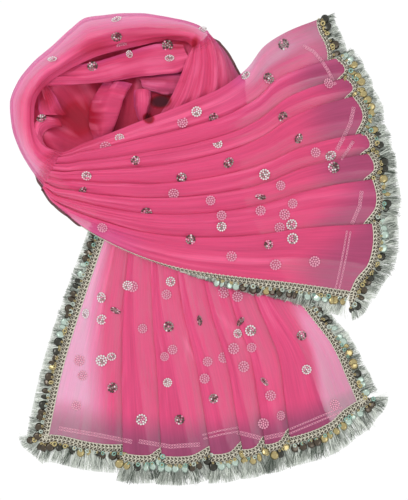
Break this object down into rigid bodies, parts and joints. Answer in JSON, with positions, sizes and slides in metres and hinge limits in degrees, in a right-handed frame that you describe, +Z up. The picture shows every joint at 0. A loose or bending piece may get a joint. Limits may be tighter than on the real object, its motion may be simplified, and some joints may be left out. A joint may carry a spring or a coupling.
{
  "type": "dupatta stole laid out flat with one gathered loop",
  "caption": "Long net stole laid on a surface: two pleated ends with zari lace and fringe, crossing at a gathered loop.",
  "frame": {"origin": "on the surface the stole lies on, in the middle of its footprint", "axes": "+Z up from the surface, +Y along the longest extent of the layout, towards the loop"},
  "size_m": [0.6914, 0.8468, 0.0704],
  "materials": {
    "net": "sheer pink net, soft",
    "net_inside": "bunched pink net, soft",
    "zari_lace": "metallic thread lace and fringe"
  },
  "bodies": {
    "root": {"heap_core": "net_inside", "lower_panel": "net", "rising_stretch": "net", "loop_stretch": "net", "upper_panel": "net", "inner_band": "net", "inner_bridge": "net", "inner_crescent": "net", "inner_petal": "net", "inner_roll": "net", "left_flap": "net", "lower_hem_lace": "zari_lace", "lower_left_lace": "zari_lace", "lower_right_lace": "zari_lace", "upper_hem_lace": "zari_lace", "upper_side_lace": "zari_lace"}
  },
  "joints": []
}
